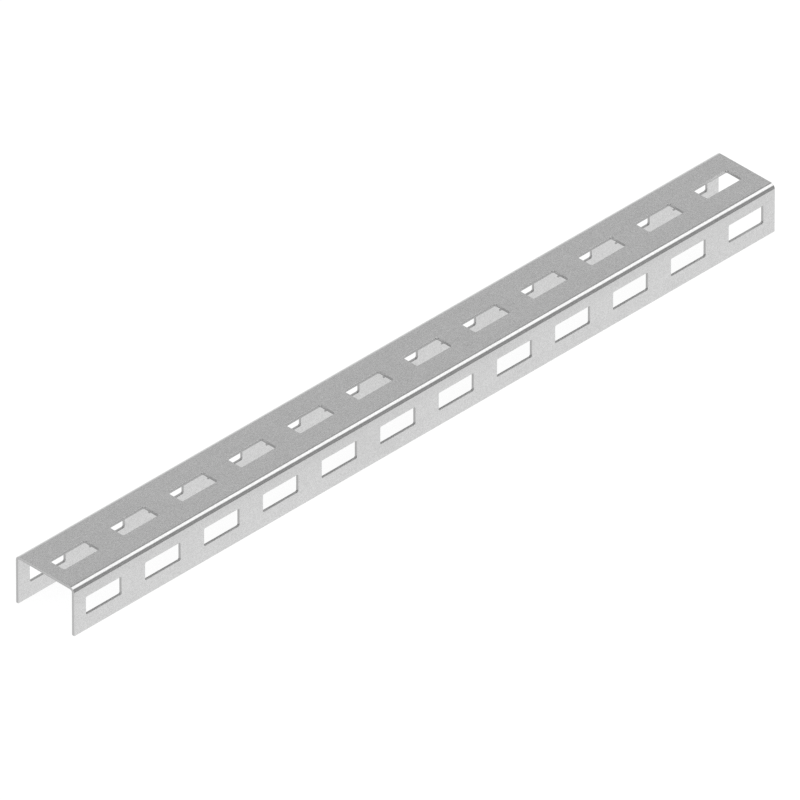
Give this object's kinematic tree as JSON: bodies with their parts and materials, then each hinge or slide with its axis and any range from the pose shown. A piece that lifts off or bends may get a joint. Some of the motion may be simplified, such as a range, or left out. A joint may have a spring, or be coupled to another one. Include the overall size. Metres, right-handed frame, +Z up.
{
  "type": "slotted U channel",
  "caption": "Length of bent steel sheet with a flat web and two plain flanges, with rows of rectangular slots along all three faces.",
  "frame": {"origin": "centre of the length and of the width, at the level of the flange feet", "axes": "+X along the channel, +Y from the front flange to the rear flange, +Z up from the feet to the web"},
  "size_m": [0.6, 0.05, 0.035],
  "materials": {
    "galvanised_steel": "zinc coated sheet, matt, with a fine even grain"
  },
  "bodies": {
    "root": {"slotted_channel": "galvanised_steel"}
  },
  "joints": []
}
